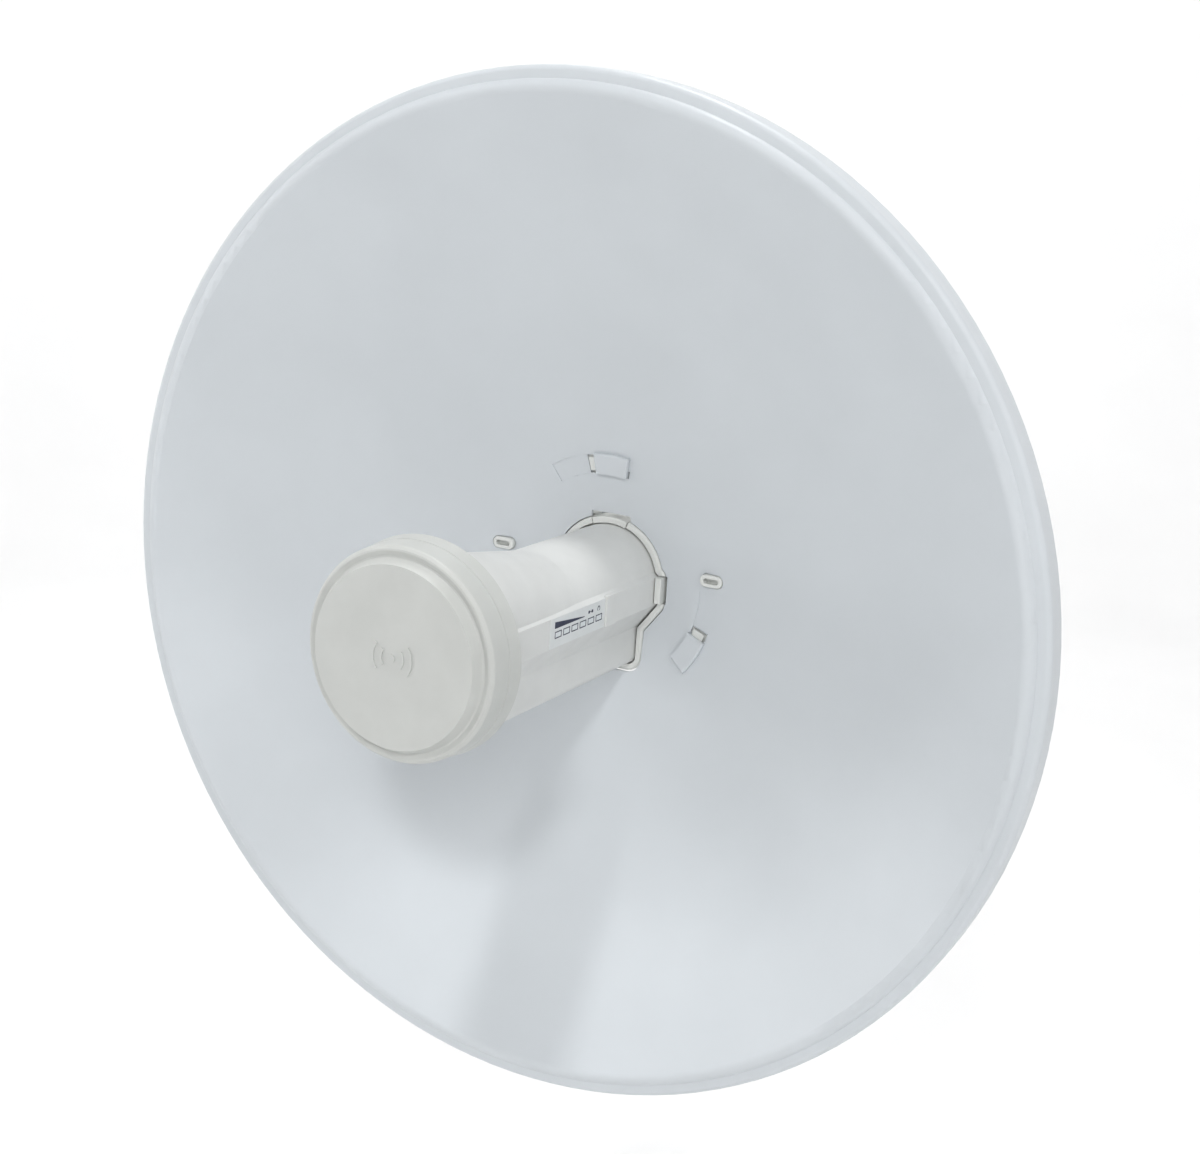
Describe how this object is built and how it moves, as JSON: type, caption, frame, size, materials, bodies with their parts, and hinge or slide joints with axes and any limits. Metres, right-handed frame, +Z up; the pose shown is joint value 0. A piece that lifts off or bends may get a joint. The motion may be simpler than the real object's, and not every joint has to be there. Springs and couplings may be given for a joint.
{
  "type": "outdoor wireless bridge",
  "caption": "Parabolic dish radio for outdoor links: hooded feed on a twist-lock hub, tilting steel bracket and pole strap.",
  "frame": {"origin": "centre of the pole clamp, on the pole's axis", "axes": "+Z up the pole, -Y the way the dish faces, +X to the right of someone looking into the dish"},
  "size_m": [0.42, 0.3053, 0.42],
  "materials": {
    "dish_coat": "satin powder coat",
    "housing_plastic": "satin moulded",
    "feed_plastic": "satin moulded",
    "cap_plastic": "satin moulded",
    "gasket_rubber": "matte",
    "label_film": "satin film",
    "clear_guide": "clear",
    "chip_body": "satin",
    "board": "solder mask",
    "tinned_steel": "bright",
    "black_plastic": "satin",
    "gold_brass": "plated",
    "aluminium_part": "machined",
    "white_resin": "waxy",
    "zinc_steel": "zinc plated",
    "bracket_steel": "satin powder coat"
  },
  "bodies": {
    "mount": {"tilt_bracket": "bracket_steel", "carriage_bolts": "zinc_steel"},
    "strap": {"pole_strap": "bracket_steel", "strap_washers": "zinc_steel", "strap_nuts": "zinc_steel"},
    "antenna": {"dish_reflector": "dish_coat", "rear_housing": "housing_plastic", "pivot_bolts": "zinc_steel", "lock_bolts": "zinc_steel", "tilt_washers": "zinc_steel", "tilt_nuts": "zinc_steel"},
    "top_latch": {"latch_top": "housing_plastic"},
    "right_latch": {"latch_right": "housing_plastic"},
    "left_latch": {"latch_left": "housing_plastic"},
    "feed": {"feed_housing": "feed_plastic", "rear_end_cover": "feed_plastic", "cover_screws": "zinc_steel", "feed_cap": "cap_plastic", "cap_gasket": "gasket_rubber", "led_label": "label_film", "led_light_pipes": "clear_guide", "led_chips": "chip_body", "main_pcb": "board", "pcb_screws": "zinc_steel", "rf_shield_can": "tinned_steel", "ethernet_transformer": "black_plastic", "rj45_jack": "black_plastic", "jack_contacts": "gold_brass", "reset_switch": "black_plastic", "waveguide_tube": "aluminium_part", "launch_probe": "gold_brass", "dielectric_support": "white_resin", "sub_reflector": "aluminium_part"},
    "reset": {"reset_button": "black_plastic"}
  },
  "joints": [
    {"name": "elevation_tilt", "type": "hinge", "parent": "mount", "child": "antenna", "pos_m": [0, -0.058, 0], "axis": [1, 0, 0], "range_deg": [-20, 20]},
    {"name": "strap_slide", "type": "slide", "parent": "mount", "child": "strap", "axis": [0, 1, 0], "range_m": [-0.008, 0.03]},
    {"name": "feed_slide", "type": "slide", "parent": "antenna", "child": "feed", "axis": [0, -1, 0], "range_m": [0, 0.06]},
    {"name": "latch_top_flex", "type": "hinge", "parent": "antenna", "child": "top_latch", "pos_m": [0, -0.0723, 0.025], "axis": [-1, 0, 0], "range_deg": [0, 1.5], "stiffness_Nm_per_rad": 2},
    {"name": "latch_right_flex", "type": "hinge", "parent": "antenna", "child": "right_latch", "pos_m": [0.026, -0.0723, -0.0015], "axis": [0, 0, 1], "range_deg": [0, 1.5], "stiffness_Nm_per_rad": 2},
    {"name": "latch_left_flex", "type": "hinge", "parent": "antenna", "child": "left_latch", "pos_m": [-0.026, -0.0723, -0.0015], "axis": [0, 0, -1], "range_deg": [0, 1.5], "stiffness_Nm_per_rad": 2},
    {"name": "reset_press", "type": "slide", "parent": "feed", "child": "reset", "axis": [0, -1, 0], "range_m": [0, 0.0005], "stiffness_N_per_m": 400}
  ]
}
